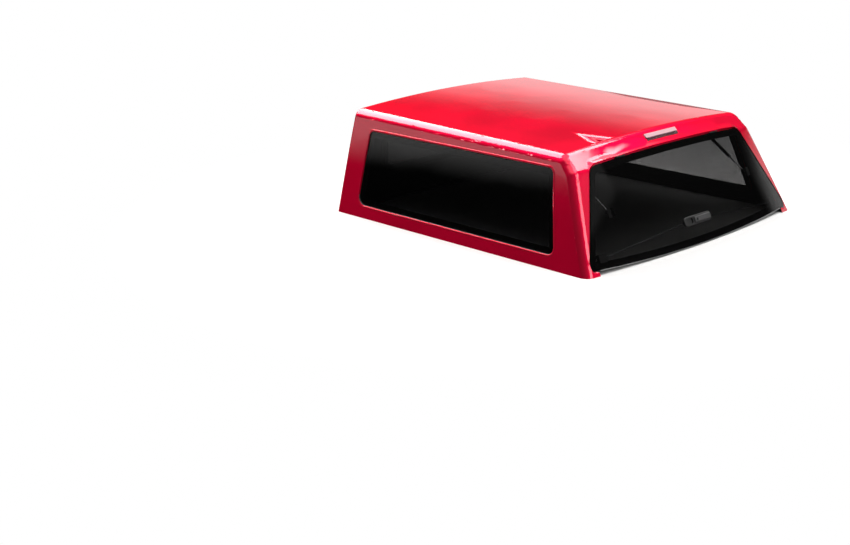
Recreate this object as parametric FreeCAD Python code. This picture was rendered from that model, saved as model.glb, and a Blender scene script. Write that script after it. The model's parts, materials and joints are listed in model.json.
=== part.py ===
"""Hard canopy for the load bed of a pickup truck.

A one-piece fibreglass shell with leaning sides, a crowned roof and a raked, bowed rear face. Two fixed side
windows sit in stepped recesses, a gasketed window looks forward, and a frameless glass door closes the back.
The door turns on two hidden hinges under the lip and is held up by two gas struts.

Millimetres. +Z is up, +Y points to the cab, +X is the right-hand side. The origin is the middle of the base.
"""
import FreeCAD
import Part
import math
import os
from FreeCAD import Vector

# Shell, outside
LENGTH = 1927.0               # front wall to the middle of the rear face, along the base
BASE_HALF_WIDTH = 893.0
SHOULDER_HALF_WIDTH = 738.0   # where the side would reach SHOULDER_HEIGHT
SHOULDER_HEIGHT = 544.0
SIDE_BULGE = 3.0              # how far the side bows out of its chord
ROOF_HEIGHT = 603.0           # at the front wall, on the centre line
ROOF_FALL = 0.019             # drop for each millimetre towards the rear
CROWN_RADIUS = 9400.0
SHOULDER_RADIUS = 62.0
FRONT_CORNER_RADIUS = 24.0
REAR_CORNER_RADIUS = 50.0
REAR_LEAN = 25.9              # degrees from upright
REAR_BOW_RADIUS = 8400.0
CREASE_SETBACK = 337.5        # foot of the rear face to the line where the roof turns down
CREASE_DROP = 30.0            # that line below ROOF_HEIGHT
TAIL_SLOPE = 43.6             # degrees below level, from the crease to the lip
TAIL_BEND_RADIUS = 54.0
LIP_SLOPE = 18.0              # degrees, the small shelf between the tail and the door
WALL = 6.0

# Base rail
RAIL_WIDTH = 46.0
RAIL_LIFT = 5.0               # underside of the rail above the skirt's edge, filled by foam
FOAM_WIDTH = 32.0

# Rear door and its rebate
DOOR_GLASS = 5.0
DOOR_GAP = 8.0
DOOR_LAND_DEPTH = 14.5        # from the outer face to the land the seal sits on
DOOR_LAND_WIDTH = 30.0
DOOR_RIM = 4.0
DOOR_RIM_DEPTH = 38.0
DOOR_TRIM = 2.5               # strip along the glass's foot
# half width, height, corner radius, from the middle of the foot round to the middle of the top
DOOR_OUTLINE = ((0.0, -5.5, 17000.0), (837.5, 28.5, 25.0), (837.5, 62.0, 70.0), (630.0, 482.5, 65.0),
                (0.0, 518.5, 9400.0))

# Side windows: distance ahead of the shell's middle, height, corner radius
SIDE_OUTLINE = ((791.0, 73.0, 55.0), (791.0, 471.0, 25.0), (-573.5, 471.0, 30.0), (-679.5, 73.0, 28.0))
SIDE_GLASS = 4.0
SIDE_GLASS_DEPTH = 5.0
SIDE_BED = 3.0
SIDE_GAP = 4.0
SIDE_LAND_WIDTH = 18.0
SIDE_RIM = 6.0

# Front window
FRONT_HALF_WIDTH = 520.0
FRONT_LOW = 180.0
FRONT_HIGH = 440.0
FRONT_RADIUS = 45.0
FRONT_GLASS = 4.0
GASKET_LIP = 12.0
GASKET_INSIDE = 9.0
GASKET_PROUD = 3.0            # how far it stands ahead of the front wall

# Headliner and dome lamp
LINER_THICK = 4.0
LINER_HALF_WIDTH = 560.0
LINER_REAR = -560.0
DOME_Y = -300.0
DOME_RADIUS = 62.0

# Door hinges
HINGE_X = 400.0
HINGE_DEPTH = 1.2             # pin behind the door's outer face
HINGE_RISE = 3.0              # pin above the door's top edge, in the gap
HINGE_BARREL = 3.0
HINGE_PIN = 1.5
HINGE_PLAY = 0.08
HINGE_PLATE = 3.0
HINGE_NOTCH = 0.5             # room between the barrel and the notch in the glass's edge
HINGE_PAD = 18.0              # how far the bonded pad reaches down the glass
KNUCKLE_HALF = 9.0
HINGE_HALF = 32.0

# Gas struts: their planes, and their ends relative to the hinge axis
STRUT_X = 590.0
STRUT_AHEAD = 164.0
STRUT_BELOW = 71.0
STRUT_ON_DOOR = 249.0
STRUT_LIFT = 32.0             # rod's eye inside of the hinge axis, square to the glass
TUBE_RADIUS = 9.0
ROD_RADIUS = 4.0
TUBE_LENGTH = 175.0
EYE_RADIUS = 8.0
EYE_WIDTH = 10.0
STUD_RADIUS = 3.0
STUD_GAP = 0.4                # rod's stud to the ear it turns on
ROD_PLAY = 0.08
BOND = 0.3                    # film between a bonded pad and what carries it

# Handle, latches and their rods
HANDLE_HEIGHT = 121.0
HANDLE_HALF = 113.0
HANDLE_TALL = 50.0
HANDLE_PROUD = 13.0
PADDLE_LENGTH = 137.0
PADDLE_TALL = 33.0
PADDLE_PROUD = 20.0
LOCK_RADIUS = 7.0
LATCH_X = 742.0
LATCH_HEIGHT = 74.0
LATCH_ROD = 3.0

# Third brake lamp
LAMP_HALF = 133.0
LAMP_TALL = 45.0
LAMP_DOWN = 47.0              # lamp's middle down the tail from the crease
LAMP_SEAT = 3.0

FRONT_Y = (LENGTH - GASKET_PROUD) / 2
REAR_Y = -(LENGTH + GASKET_PROUD) / 2
LEAN = math.radians(REAR_LEAN)
TAIL = math.radians(TAIL_SLOPE)
LIP = math.radians(LIP_SLOPE)
DEEP = -60.0                  # the shell is drawn down to here and trimmed at the base
HIGH = 700.0
LOFT_TAIL = 60.0
CREASE_Y = REAR_Y + CREASE_SETBACK
CREASE_Z = ROOF_HEIGHT - CREASE_DROP


def mid(edge):
    return edge.valueAt((edge.FirstParameter + edge.LastParameter) / 2)


def mirrored(shape):
    return shape.mirror(Vector(0, 0, 0), Vector(1, 0, 0))


def box(x0, x1, y0, y1, z0, z1):
    return Part.makeBox(x1 - x0, y1 - y0, z1 - z0, Vector(x0, y0, z0))


def fused(first, *others):
    return first.fuse(list(others)).removeSplitter()


# Cross-section of sides, shoulders and roof

def side_circle():
    """Centre and radius of the shallow circle that each side follows."""
    dx = BASE_HALF_WIDTH - SHOULDER_HALF_WIDTH
    chord = math.hypot(dx, SHOULDER_HEIGHT)
    radius = (chord / 2) ** 2 / (2 * SIDE_BULGE) + SIDE_BULGE / 2
    reach = radius - SIDE_BULGE
    cx = (BASE_HALF_WIDTH + SHOULDER_HALF_WIDTH) / 2 - SHOULDER_HEIGHT / chord * reach
    cz = SHOULDER_HEIGHT / 2 - dx / chord * reach
    return cx, cz, radius


def half_width(z, inset=0.0):
    cx, cz, radius = side_circle()
    return cx + math.sqrt((radius - inset) ** 2 - (z - cz) ** 2)


def roof_z(x, y, inset=0.0):
    top = ROOF_HEIGHT - ROOF_FALL * (FRONT_Y - y)
    return top - CROWN_RADIUS + math.sqrt((CROWN_RADIUS - inset) ** 2 - x * x)


def away(start, towards, reach):
    dx, dz = towards[0] - start[0], towards[1] - start[1]
    length = math.hypot(dx, dz)
    return start[0] + dx / length * reach, start[1] + dz / length * reach


def section(y, inset):
    """The shell's cross-section at y, moved in by inset: side, shoulder and roof arcs, tangent to each other."""
    cx, cz, side_r = side_circle()
    roof_c = (0.0, ROOF_HEIGHT - ROOF_FALL * (FRONT_Y - y) - CROWN_RADIUS)
    r1, r2 = side_r - SHOULDER_RADIUS, CROWN_RADIUS - SHOULDER_RADIUS
    dx, dz = roof_c[0] - cx, roof_c[1] - cz
    gap = math.hypot(dx, dz)
    along = (r1 * r1 - r2 * r2 + gap * gap) / (2 * gap)
    across = math.sqrt(r1 * r1 - along * along)
    foot = (cx + along * dx / gap, cz + along * dz / gap)
    both = [(foot[0] + s * across * dz / gap, foot[1] - s * across * dx / gap) for s in (1, -1)]
    centre = max(both, key=lambda p: p[0] + p[1])
    low_side = away((cx, cz), centre, side_r - inset)
    on_roof = away(roof_c, centre, CROWN_RADIUS - inset)
    between = ((low_side[0] + on_roof[0]) / 2, (low_side[1] + on_roof[1]) / 2)
    corner = away(centre, between, SHOULDER_RADIUS - inset)
    foot_z = DEEP
    half_z = (foot_z + low_side[1]) / 2
    profile = [(half_width(foot_z, inset), foot_z), (half_width(half_z, inset), half_z), low_side, corner, on_roof]
    right = [Vector(px, y, pz) for px, pz in profile]
    left = [Vector(-v.x, v.y, v.z) for v in right]
    top = Vector(0, y, roof_c[1] + CROWN_RADIUS - inset)
    edges = [
        Part.Arc(right[0], right[1], right[2]).toShape(),
        Part.Arc(right[2], right[3], right[4]).toShape(),
        Part.Arc(right[4], top, left[4]).toShape(),
        Part.Arc(left[4], left[3], left[2]).toShape(),
        Part.Arc(left[2], left[1], left[0]).toShape(),
        Part.makeLine(left[0], right[0]),
    ]
    return Part.Wire(edges)


def hull(inset):
    """Sides, shoulders and roof from the front wall to beyond the rear face."""
    return Part.makeLoft([section(FRONT_Y - inset, inset), section(REAR_Y - LOFT_TAIL, inset)], True, True)


# Rear face and tail: profiles in the middle plane, swept round the bow's upright axis

def swept(points):
    """Sweep a closed profile of (y, z) points round the bow axis. A point of three stands for an arc's middle."""
    edges = []
    for i, point in enumerate(points):
        if len(point) == 3:
            continue
        after = points[(i + 1) % len(points)]
        if len(after) == 3:
            end = points[(i + 2) % len(points)]
            edges.append(Part.Arc(Vector(0, *point), Vector(0, *after[:2]), Vector(0, *end)).toShape())
        else:
            edges.append(Part.makeLine(Vector(0, *point), Vector(0, *after)))
    face = Part.Face(Part.Wire(edges))
    axis = Vector(0, REAR_Y + REAR_BOW_RADIUS, 0)
    half_turn = math.degrees(math.asin(1.56 * BASE_HALF_WIDTH / REAR_BOW_RADIUS))
    face.rotate(axis, Vector(0, 0, 1), -half_turn)
    return face.revolve(axis, Vector(0, 0, 1), 2 * half_turn)


def ahead_of_rear(inset):
    """Everything ahead of the rear face, moved in by inset."""
    shift = inset / math.cos(LEAN)
    low = (REAR_Y + DEEP * math.tan(LEAN) + shift, DEEP)
    high = (REAR_Y + HIGH * math.tan(LEAN) + shift, HIGH)
    far = FRONT_Y + 200.0
    return swept([low, high, (far, HIGH), (far, DEEP)])


def inside_tail(inset):
    """Everything ahead of the rear face and below the tail, moved in by inset, with the bend between rounded."""
    n1 = (-math.cos(LEAN), math.sin(LEAN))
    n2 = (-math.sin(TAIL), math.cos(TAIL))
    det = n1[0] * n2[1] - n1[1] * n2[0]
    radius = TAIL_BEND_RADIUS - inset
    k1 = n1[0] * REAR_Y - inset - radius
    k2 = n2[0] * CREASE_Y + n2[1] * CREASE_Z - inset - radius
    centre = ((k1 * n2[1] - k2 * n1[1]) / det, (n1[0] * k2 - n2[0] * k1) / det)
    middle = (n1[0] + n2[0], n1[1] + n2[1])
    size = math.hypot(*middle)
    p1 = (centre[0] + n1[0] * radius, centre[1] + n1[1] * radius)
    p2 = (centre[0] + n2[0] * radius, centre[1] + n2[1] * radius)
    pm = (centre[0] + middle[0] / size * radius, centre[1] + middle[1] / size * radius, True)
    low = (p1[0] + (DEEP - p1[1]) * math.tan(LEAN), DEEP)
    high = (p2[0] + (HIGH - p2[1]) / math.tan(TAIL), HIGH)
    far = FRONT_Y + 200.0
    return swept([low, p1, pm, p2, high, (far, HIGH), (far, DEEP)])


def body(inset):
    """The closed shape of the shell, moved in by inset, with its corners rounded."""
    raw = hull(inset).common(inside_tail(inset)).Solids[0]
    behind = [e for e in raw.Edges if mid(e).y < CREASE_Y + 60 and mid(e).z > DEEP + 1]
    chain = [e for e in behind if abs(mid(e).x) > 5 or mid(e).z > CREASE_Z - inset - 12]
    # The bend between rear face and tail is already rounded and has two smooth seams across the middle.
    chain = [e for e in chain if not is_across(e, inset)]
    soft = raw.makeFillet(REAR_CORNER_RADIUS - inset, chain)
    front = [e for e in soft.Edges if mid(e).y > FRONT_Y - inset - 0.5 and mid(e).z > DEEP + 1]
    return soft.makeFillet(FRONT_CORNER_RADIUS - inset, front)


def is_across(edge, inset):
    """True for an edge that runs across the middle of the shell below the crease."""
    return abs(mid(edge).x) < 5 and mid(edge).z < CREASE_Z - inset - 12


# Outlines with rounded corners

def rounded(points):
    """Segments round a convex polygon of (u, v, radius): (start, end) for lines and (start, mid, end) for arcs."""
    count = len(points)
    halves, cuts, lengths = [], [], []
    for i in range(count):
        px, pz, radius = points[i]
        ax, az = points[i - 1][:2]
        bx, bz = points[(i + 1) % count][:2]
        la, lb = math.hypot(ax - px, az - pz), math.hypot(bx - px, bz - pz)
        cosine = ((ax - px) * (bx - px) + (az - pz) * (bz - pz)) / (la * lb)
        halves.append(math.acos(max(-1.0, min(1.0, cosine))) / 2)
        cuts.append(radius / math.tan(halves[i]))
        lengths.append(lb)
    # Where two neighbouring roundings would meet, both shrink to share the side between them.
    share = []
    for i in range(count):
        after = 0.96 * lengths[i] / (cuts[i] + cuts[(i + 1) % count])
        before = 0.96 * lengths[i - 1] / (cuts[i] + cuts[i - 1])
        share.append(cuts[i] * min(1.0, after, before))
    arcs = []
    for i in range(count):
        px, pz = points[i][:2]
        ax, az = points[i - 1][:2]
        bx, bz = points[(i + 1) % count][:2]
        la, lb = math.hypot(ax - px, az - pz), math.hypot(bx - px, bz - pz)
        ua, ub = ((ax - px) / la, (az - pz) / la), ((bx - px) / lb, (bz - pz) / lb)
        half, cut = halves[i], share[i]
        size = cut * math.tan(half)
        bis = (ua[0] + ub[0], ua[1] + ub[1])
        norm = math.hypot(*bis)
        reach = (size / math.sin(half) - size) / norm
        middle = (px + bis[0] * reach, pz + bis[1] * reach)
        arcs.append(((px + ua[0] * cut, pz + ua[1] * cut), middle, (px + ub[0] * cut, pz + ub[1] * cut)))
    segments = []
    for i in range(count):
        segments.append(arcs[i])
        segments.append((arcs[i][2], arcs[(i + 1) % count][0]))
    return segments


def grown(points, by):
    """A convex polygon of (u, v, radius), anticlockwise, with every side moved out by the same distance.

    A side that would turn over is left out, and its neighbours meet instead."""
    count = len(points)
    sides = []
    for i in range(count):
        ax, az, radius = points[i]
        bx, bz = points[(i + 1) % count][:2]
        length = math.hypot(bx - ax, bz - az)
        nx, nz = (bz - az) / length, -(bx - ax) / length
        sides.append((nx, nz, nx * ax + nz * az + by, max(radius + by, 3.0)))
    while True:
        result = []
        for i in range(len(sides)):
            a, b = sides[i - 1], sides[i]
            det = a[0] * b[1] - a[1] * b[0]
            result.append(((a[2] * b[1] - b[2] * a[1]) / det, (a[0] * b[2] - b[0] * a[2]) / det, b[3]))
        turned = []
        for i in range(len(sides)):
            start, end = result[i], result[(i + 1) % len(sides)]
            run = (end[1] - start[1]) * sides[i][0] - (end[0] - start[0]) * sides[i][1]
            if run < 4.0:
                turned.append(i)
        if not turned:
            return result
        del sides[turned[0]]


def door_points():
    right = list(DOOR_OUTLINE)
    left = [(-x, z, r) for x, z, r in reversed(right[1:-1])]
    return right + left


def rear_y(x, z, inset=0.0):
    """Where the rear face, moved in by inset, lies at (x, z)."""
    radius = REAR_BOW_RADIUS - math.tan(LEAN) * z - inset / math.cos(LEAN)
    return REAR_Y + REAR_BOW_RADIUS - math.sqrt(radius * radius - x * x)


def door_prism(by, rise=-LEAN):
    """The door's outline, grown, as a prism: square to the glass, or rising forward at the angle given."""
    start = REAR_Y - 120.0

    def placed(point):
        x, z = point
        return Vector(x, start, z - (rear_y(x, z) - start) * math.tan(rise))

    edges = []
    for seg in rounded(grown(door_points(), by)):
        pts = [placed(p) for p in seg]
        if len(pts) == 3:
            edges.append(Part.Arc(*pts).toShape())
        else:
            edges.append(Part.makeLine(*pts))
    face = Part.Face(Part.Wire(Part.__sortEdges__(edges)))
    return face.extrude(Vector(0, 520.0, 520.0 * math.tan(rise)))


def flat_prism(points, by, placed, run):
    """A prism over a grown outline; placed turns (u, v) into a point and run is the direction of extrusion."""
    edges = []
    for seg in rounded(grown(points, by)):
        pts = [placed(p) for p in seg]
        if len(pts) == 3:
            edges.append(Part.Arc(*pts).toShape())
        else:
            edges.append(Part.makeLine(*pts))
    return Part.Face(Part.Wire(Part.__sortEdges__(edges))).extrude(run)


def side_prism(by):
    """The side window's outline, grown, as a prism through the right-hand side."""
    inner = SHOULDER_HALF_WIDTH - 130.0
    points = list(SIDE_OUTLINE)
    # The table runs bottom front, top front, top rear, bottom rear: anticlockwise seen from the right-hand side.
    return flat_prism(points, by, lambda p: Vector(inner, p[0], p[1]), Vector(420.0, 0, 0))


def front_prism(by, y0, y1):
    points = [(-FRONT_HALF_WIDTH, FRONT_LOW, FRONT_RADIUS), (FRONT_HALF_WIDTH, FRONT_LOW, FRONT_RADIUS),
              (FRONT_HALF_WIDTH, FRONT_HIGH, FRONT_RADIUS), (-FRONT_HALF_WIDTH, FRONT_HIGH, FRONT_RADIUS)]
    return flat_prism(points, by, lambda p: Vector(p[0], y0, p[1]), Vector(0, y1 - y0, 0))


# Places on the door's glass: local x runs right, local y inwards from the outer face, local z up the glass

def glass_place(x, z):
    radius = REAR_BOW_RADIUS - math.tan(LEAN) * z
    turn = math.asin(x / radius)
    s, c = math.sin(turn), math.cos(turn)
    sl, cl = math.sin(LEAN), math.cos(LEAN)
    ex = Vector(c, s, 0)
    ey = Vector(-s * cl, c * cl, -sl)
    ez = Vector(-s * sl, c * sl, cl)
    origin = Vector(x, rear_y(x, z), z)
    matrix = FreeCAD.Matrix(ex.x, ey.x, ez.x, origin.x, ex.y, ey.y, ez.y, origin.y,
                            ex.z, ey.z, ez.z, origin.z, 0, 0, 0, 1)
    return FreeCAD.Placement(matrix)


def on_glass(shape, x, z):
    shape.Placement = glass_place(x, z).multiply(shape.Placement)
    return shape


def door_top_z(x):
    """Height of the door's top edge at x."""
    apex = DOOR_OUTLINE[4]
    corner = DOOR_OUTLINE[3]
    slope = (apex[1] - corner[1]) / corner[0]
    angle = math.atan(slope)
    radius = apex[2]
    if abs(x) > radius * math.sin(angle):
        return apex[1] - slope * abs(x)
    return apex[1] - radius / math.cos(angle) + math.sqrt(radius * radius - x * x)


# The hinge axis, parallel to X
_top = door_top_z(HINGE_X)
_edge_y = rear_y(HINGE_X, _top)
AXIS_Y = _edge_y + HINGE_DEPTH * math.cos(LEAN) + HINGE_RISE * math.sin(LEAN)
AXIS_Z = _top - HINGE_DEPTH * math.sin(LEAN) + HINGE_RISE * math.cos(LEAN)


def rod_x(radius, x0, x1, y, z):
    return Part.makeCylinder(radius, x1 - x0, Vector(x0, y, z), Vector(1, 0, 0))


def save(name, shape):
    shape = shape.removeSplitter() if shape.ShapeType != "Solid" else shape
    solids = shape.Solids
    if len(solids) == 1:
        shape = solids[0]
    shape.exportStep("parts/" + name + ".step")
    return shape


def make_shell():
    outer = body(0.0)
    inner = body(WALL)
    skin = outer.cut(inner)
    keep = box(-2000, 2000, -2000, 2000, 0, 2000)

    # Rear door rebate: rim, land for the seal, and the wall that ties them to the skin
    rim_out = door_prism(DOOR_GAP + DOOR_RIM, LIP)
    rim_in = door_prism(DOOR_GAP, LIP)
    hole = door_prism(-DOOR_LAND_WIDTH)
    rear_slab = ahead_of_rear(0).cut(ahead_of_rear(DOOR_RIM_DEPTH))
    rear_ring = rim_out.common(rear_slab).common(hull(0.0))
    pocket = rim_in.cut(ahead_of_rear(DOOR_LAND_DEPTH))
    behind_land = rim_in.common(ahead_of_rear(DOOR_LAND_DEPTH + WALL))
    rear_ring = rear_ring.cut(pocket).cut(behind_land).cut(hole)

    # Side window recesses
    side_out = side_prism(SIDE_GAP + SIDE_RIM)
    side_in = side_prism(SIDE_GAP)
    side_hole = side_prism(-SIDE_LAND_WIDTH)
    land = SIDE_GLASS_DEPTH + SIDE_GLASS + SIDE_BED
    side_ring = side_out.common(hull(0.0)).cut(hull(land + WALL))
    recess = side_in.cut(hull(land))

    # Base rail, turned inwards along the sides and front
    rail = body(WALL / 2).common(box(-2000, 2000, -2000, 2000, RAIL_LIFT, RAIL_LIFT + WALL))
    inner_half = BASE_HALF_WIDTH - RAIL_WIDTH - WALL
    rail = rail.cut(box(-inner_half, inner_half, -3000, FRONT_Y - WALL - RAIL_WIDTH, -10, 30))

    shell = skin.fuse([rear_ring, side_ring, mirrored(side_ring), rail])
    shell = shell.cut([pocket, hole, recess, mirrored(recess), side_hole, mirrored(side_hole)])
    shell = shell.cut(front_prism(0, FRONT_Y - 3 * WALL, FRONT_Y + WALL))
    # The door closes on the tailgate, so the frame is open at the foot between the two pillars.
    foot = DOOR_OUTLINE[1][0] - DOOR_LAND_WIDTH - 8
    shell = shell.cut(box(-foot, foot, REAR_Y - 40, REAR_Y + 190, -100, DOOR_OUTLINE[2][1]))
    shell = shell.cut(lamp_place(box(-LAMP_HALF, LAMP_HALF, -40, LAMP_SEAT, -LAMP_TALL / 2, LAMP_TALL / 2)))
    shell = shell.cut(lamp_place(box(-LAMP_HALF + 11, LAMP_HALF - 11, -40, 40, -LAMP_TALL / 2 + 6, LAMP_TALL / 2 - 6)))
    shell = shell.common(keep)
    solids = sorted(shell.Solids, key=lambda s: s.Volume)
    return solids[-1]


def lamp_place(shape):
    """Put a shape on the tail: local x right, local y inwards, local z up the slope."""
    s, c = math.sin(TAIL), math.cos(TAIL)
    y = CREASE_Y - LAMP_DOWN * c
    z = CREASE_Z - LAMP_DOWN * s
    matrix = FreeCAD.Matrix(1, 0, 0, 0, 0, s, c, y, 0, -c, s, z, 0, 0, 0, 1)
    shape.Placement = FreeCAD.Placement(matrix).multiply(shape.Placement)
    return shape


def main():
    os.makedirs("parts", exist_ok=True)
    shell = save("shell", make_shell())
    h_glass_out = hull(SIDE_GLASS_DEPTH)
    h_glass_in = hull(SIDE_GLASS_DEPTH + SIDE_GLASS)
    h_land = hull(SIDE_GLASS_DEPTH + SIDE_GLASS + SIDE_BED)

    # Headliner, glued under the roof between the strut brackets
    under = hull(WALL).cut(hull(WALL + LINER_THICK))
    liner = under.common(box(-LINER_HALF_WIDTH, LINER_HALF_WIDTH, LINER_REAR, FRONT_Y - 3 * WALL, 400, 700))
    liner = max(liner.Solids, key=lambda s: s.Volume)
    save("headliner", liner)

    # Side windows
    glass = side_prism(0).common(h_glass_out).cut(h_glass_in)
    frame = side_prism(SIDE_GAP).cut(side_prism(-SIDE_LAND_WIDTH))
    seal = frame.common(hull(SIDE_GLASS_DEPTH + 1)).cut(h_land).cut(glass)
    for side, turn in (("right", None), ("left", mirrored)):
        save("side_glass_" + side, turn(glass) if turn else glass)
        save("side_seal_" + side, turn(seal) if turn else seal)

    # Front window: a gasket gripping the wall's edge and the glass
    mid_y = FRONT_Y - WALL / 2
    g0, g1 = FRONT_Y - WALL - GASKET_INSIDE, FRONT_Y + GASKET_PROUD
    gasket = front_prism(GASKET_LIP, g0, g1).cut(front_prism(-2 * GASKET_LIP, g0 - 1, g1 + 1))
    wall_slot = front_prism(GASKET_LIP + 5, FRONT_Y - WALL, FRONT_Y).cut(front_prism(0, g0 - 1, g1 + 1))
    pane = front_prism(-GASKET_LIP, mid_y - FRONT_GLASS / 2, mid_y + FRONT_GLASS / 2)
    gasket = gasket.cut(wall_slot).cut(pane)
    save("front_gasket", gasket)
    save("front_glass", pane)

    # Dome lamp
    dome_z = roof_z(0, DOME_Y, WALL + LINER_THICK)
    block = Part.makeCylinder(DOME_RADIUS, 60, Vector(0, DOME_Y, dome_z - 10))
    base = block.common(hull(WALL + LINER_THICK))
    save("dome_base", base)
    lens = Part.makeCylinder(DOME_RADIUS - 9, 9, Vector(0, DOME_Y, dome_z - 19))
    rim = [e for e in lens.Edges if abs(mid(e).z - (dome_z - 19)) < 0.1]
    lens = lens.makeFillet(6, rim)
    save("dome_lens", lens)

    # Rear door glass and seal
    pane = door_prism(0).common(ahead_of_rear(0)).cut(ahead_of_rear(DOOR_GLASS))
    for sign in (-1, 1):
        x = sign * HINGE_X
        floor = HINGE_RISE - HINGE_BARREL - HINGE_NOTCH
        pane = pane.cut(on_glass(box(-HINGE_HALF - 1, HINGE_HALF + 1, -9, 20, floor, 12), x, door_top_z(x)))
    save("door_glass", pane)
    strip = door_prism(DOOR_TRIM).cut(door_prism(0)).common(ahead_of_rear(0)).cut(ahead_of_rear(DOOR_GLASS))
    reach = DOOR_OUTLINE[1][0] - 2 * DOOR_OUTLINE[1][2]
    save("door_trim", strip.common(box(-reach, reach, REAR_Y - 40, REAR_Y + 90, -40, DOOR_OUTLINE[2][1])))
    ring = door_prism(4 - 0.8 * DOOR_LAND_WIDTH).cut(door_prism(1.5 - DOOR_LAND_WIDTH))
    seal = ring.common(ahead_of_rear(DOOR_GLASS)).cut(ahead_of_rear(DOOR_LAND_DEPTH))
    foot = DOOR_OUTLINE[1][0] - DOOR_LAND_WIDTH - 8
    seal = seal.cut(box(-foot, foot, REAR_Y - 40, REAR_Y + 190, -100, DOOR_OUTLINE[2][1]))
    seal = seal.cut(box(-2000, 2000, -2000, 2000, -300, 0))
    save("door_seal", seal)

    # Hinges
    seat = DOOR_LAND_DEPTH - BOND
    bare = DOOR_GLASS + BOND
    for side, sign in (("left", -1), ("right", 1)):
        x = sign * HINGE_X
        top = door_top_z(x)
        gap = KNUCKLE_HALF + 0.5
        low, high = HINGE_RISE - 1.4, HINGE_RISE + 1.4
        plate = box(-HINGE_HALF, HINGE_HALF, seat - HINGE_PLATE, seat, -12, high)
        web = box(-HINGE_HALF, HINGE_HALF, HINGE_DEPTH, seat - 1, low, high)
        web = web.cut(box(-gap, gap, HINGE_DEPTH - 9, seat - HINGE_PLATE, low - 1, high + 1))
        barrels = [rod_x(HINGE_BARREL, x - HINGE_HALF, x - gap, AXIS_Y, AXIS_Z),
                   rod_x(HINGE_BARREL, x + gap, x + HINGE_HALF, AXIS_Y, AXIS_Z)]
        bore = rod_x(HINGE_PIN, x - 100, x + 100, AXIS_Y, AXIS_Z)
        leaf = on_glass(plate, x, top).fuse([on_glass(web, x, top)] + barrels).cut(bore)
        save("hinge_leaf_" + side, leaf)
        save("hinge_pin_" + side, rod_x(HINGE_PIN, x - HINGE_HALF - 1, x + HINGE_HALF + 1, AXIS_Y, AXIS_Z))
        pad = box(-HINGE_HALF + 6, HINGE_HALF - 6, bare, bare + HINGE_PLATE, -HINGE_PAD, low - 3)
        neck = box(-KNUCKLE_HALF, KNUCKLE_HALF, bare, bare + HINGE_PLATE, low - 4, HINGE_RISE + 1)
        arm = box(-KNUCKLE_HALF, KNUCKLE_HALF, HINGE_DEPTH, bare + HINGE_PLATE, HINGE_RISE - HINGE_BARREL, HINGE_RISE + 1)
        knuckle = on_glass(pad.fuse([neck, arm]), x, top)
        knuckle = knuckle.fuse(rod_x(HINGE_BARREL, x - KNUCKLE_HALF, x + KNUCKLE_HALF, AXIS_Y, AXIS_Z))
        loose = rod_x(HINGE_PIN + HINGE_PLAY, x - 100, x + 100, AXIS_Y, AXIS_Z)
        save("hinge_knuckle_" + side, knuckle.cut(loose))

    # Gas struts
    sx, sy, sz = STRUT_X, AXIS_Y + STRUT_AHEAD, AXIS_Z - STRUT_BELOW
    dy = AXIS_Y - STRUT_ON_DOOR * math.sin(LEAN) + STRUT_LIFT * math.cos(LEAN)
    dz = AXIS_Z - STRUT_ON_DOOR * math.cos(LEAN) - STRUT_LIFT * math.sin(LEAN)
    length = math.hypot(dy - sy, dz - sz)
    uy, uz = (dy - sy) / length, (dz - sz) / length

    def along(distance):
        return Vector(sx, sy + uy * distance, sz + uz * distance)

    direction = Vector(0, uy, uz)
    half_eye = EYE_WIDTH / 2
    tube_end = EYE_RADIUS - 1 + TUBE_LENGTH
    rod_start = tube_end - 140
    eye = rod_x(EYE_RADIUS, sx - half_eye, sx + half_eye, sy, sz)
    tube = Part.makeCylinder(TUBE_RADIUS, TUBE_LENGTH, along(EYE_RADIUS - 1), direction).fuse(eye)
    tube = tube.cut(rod_x(STUD_RADIUS + ROD_PLAY, sx - 50, sx + 50, sy, sz))
    tube = tube.cut(Part.makeCylinder(ROD_RADIUS + ROD_PLAY, TUBE_LENGTH, along(rod_start - 15), direction))
    rod = Part.makeCylinder(ROD_RADIUS, length - EYE_RADIUS + 1 - rod_start, along(rod_start), direction)
    rod = rod.fuse(rod_x(EYE_RADIUS, sx - half_eye, sx + half_eye, dy, dz))
    rod = rod.fuse(rod_x(STUD_RADIUS, sx - half_eye - 2, sx + half_eye + 4 - STUD_GAP, dy, dz))

    # Strut bracket under the roof: pad, hanging plate and stud
    roof_in = hull(WALL)
    pad = box(sx - 22, sx + 30, sy - 36, sy + 36, sz, 800).common(roof_in).cut(hull(WALL + 3))
    side_x = sx + half_eye + 4
    outline = [Vector(side_x, sy - 34, 760), Vector(side_x, sy + 34, 760), Vector(side_x, sy + 34, sz + 92),
               Vector(side_x, sy + 12, sz - 12), Vector(side_x, sy - 12, sz - 12), Vector(side_x, sy - 34, sz + 92)]
    plate = Part.Face(Part.makePolygon(outline + outline[:1])).extrude(Vector(3, 0, 0)).common(roof_in)
    stud = rod_x(STUD_RADIUS, sx - half_eye - 2, side_x + 1, sy, sz)
    bracket = fused(pad, plate, stud)

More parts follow.
